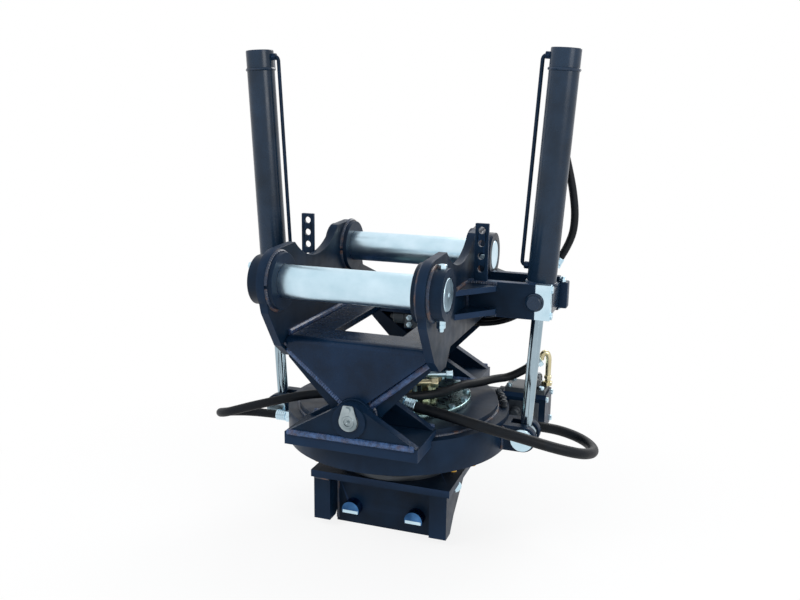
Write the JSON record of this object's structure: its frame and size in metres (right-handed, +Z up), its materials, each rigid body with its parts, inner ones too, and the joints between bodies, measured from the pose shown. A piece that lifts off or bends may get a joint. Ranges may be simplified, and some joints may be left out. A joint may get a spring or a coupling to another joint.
{
  "type": "tiltrotator",
  "caption": "Hydraulic tiltrotator: pin-on frame tilted by two upright cylinders on an endlessly turning rotor housing with a quick hitch and hoses.",
  "frame": {"origin": "on the turning axis, in the plane of the quick hitch's feet", "axes": "+Z up along the turning axis, +X along the coupling pins to the viewer's right, +Y along the tilt axis away from the viewer"},
  "size_m": [0.821, 0.653, 1.0279],
  "materials": {
    "black_paint": "satin navy-black enamel on welded steel",
    "plated_steel": "zinc plated",
    "chromed_rod": "hard chromed and ground",
    "brass": "turned brass",
    "hose_rubber": "matt hydraulic hose cover",
    "bare_steel": "machined steel, oiled"
  },
  "bodies": {
    "hitch": {"hitch_frame": "black_paint", "worm_wheel": "black_paint", "rotor_bolts": "plated_steel", "lock_cylinder": "bare_steel"},
    "lock": {"lock_pins": "plated_steel", "lock_yoke": "bare_steel"},
    "housing": {"rotor_housing": "black_paint", "brass_plugs": "brass", "front_ear_base": "black_paint", "rear_ear_base": "black_paint", "front_outer_ear": "black_paint", "front_inner_ear": "black_paint", "rear_inner_ear": "black_paint", "rear_outer_ear": "black_paint", "left_rod_lug": "black_paint", "right_rod_lug": "black_paint", "rod_pins": "plated_steel", "tilt_pins": "plated_steel", "pin_retainers": "plated_steel", "swivel_disc": "plated_steel", "swivel_bolts": "plated_steel", "swivel_hub": "black_paint", "worm_cover": "black_paint", "motor_body": "black_paint", "motor_cover": "plated_steel", "right_loop_hose": "hose_rubber", "left_loop_hose": "hose_rubber", "housing_fittings": "plated_steel"},
    "worm": {"worm_shaft": "bare_steel"},
    "tilt_frame": {"left_side_plate": "black_paint", "right_side_plate": "black_paint", "front_coupling_pin": "plated_steel", "rear_coupling_pin": "plated_steel", "pin_lock_bolts": "plated_steel", "deck_plate": "black_paint", "front_tilt_web": "black_paint", "rear_tilt_web": "black_paint", "tilt_bushes": "brass", "left_arm": "black_paint", "right_arm": "black_paint", "front_trunnion_caps": "plated_steel", "rear_trunnion_caps": "black_paint", "cap_bolts": "plated_steel", "hose_brackets": "black_paint", "valve_block": "black_paint", "front_thin_hose": "hose_rubber", "rear_thin_hose": "hose_rubber", "frame_fittings": "plated_steel"},
    "left_cylinder": {"left_barrel": "black_paint", "left_gland": "black_paint", "left_oil_pipe": "black_paint"},
    "right_cylinder": {"right_barrel": "black_paint", "right_gland": "black_paint", "right_oil_pipe": "black_paint", "right_cylinder_hose": "hose_rubber", "right_cylinder_fittings": "plated_steel"},
    "left_piston_rod": {"left_rod": "chromed_rod", "left_piston": "bare_steel"},
    "right_piston_rod": {"right_rod": "chromed_rod", "right_piston": "bare_steel"}
  },
  "joints": [
    {"name": "turn", "type": "hinge", "parent": "hitch", "child": "housing", "pos_m": [0, 0, 0.2], "axis": [0, 0, 1], "continuous": true},
    {"name": "worm_turn", "type": "hinge", "parent": "housing", "child": "worm", "pos_m": [0, 0.1696, 0.234], "axis": [1, 0, 0], "continuous": true},
    {"name": "lock_travel", "type": "slide", "parent": "hitch", "child": "lock", "axis": [0, 1, 0], "range_m": [0, 0.024]},
    {"name": "tilt", "type": "hinge", "parent": "housing", "child": "tilt_frame", "pos_m": [0, 0, 0.322], "axis": [0, 1, 0], "range_deg": [-40, 40]},
    {"name": "right_swing", "type": "hinge", "parent": "tilt_frame", "child": "right_cylinder", "pos_m": [0.304, 0, 0.534], "axis": [0, 1, 0], "range_deg": [-9.8, 9.8]},
    {"name": "left_swing", "type": "hinge", "parent": "tilt_frame", "child": "left_cylinder", "pos_m": [-0.304, 0, 0.534], "axis": [0, 1, 0], "range_deg": [-9.8, 9.8]},
    {"name": "right_stroke", "type": "slide", "parent": "right_cylinder", "child": "right_piston_rod", "axis": [-0.0558, 0, -0.9984], "range_m": [-0.1945, 0.1945]},
    {"name": "left_stroke", "type": "slide", "parent": "left_cylinder", "child": "left_piston_rod", "axis": [0.0558, 0, -0.9984], "range_m": [-0.1945, 0.1945]}
  ],
  "couplings": [
    {"joint": "worm_turn", "follows": "turn", "ratio": 45},
    {"joint": "right_swing", "follows": "tilt", "ratio": -0.245},
    {"joint": "left_swing", "follows": "tilt", "ratio": -0.245},
    {"joint": "right_stroke", "follows": "tilt", "m_per_rad": -0.27788},
    {"joint": "left_stroke", "follows": "tilt", "m_per_rad": 0.27788}
  ]
}
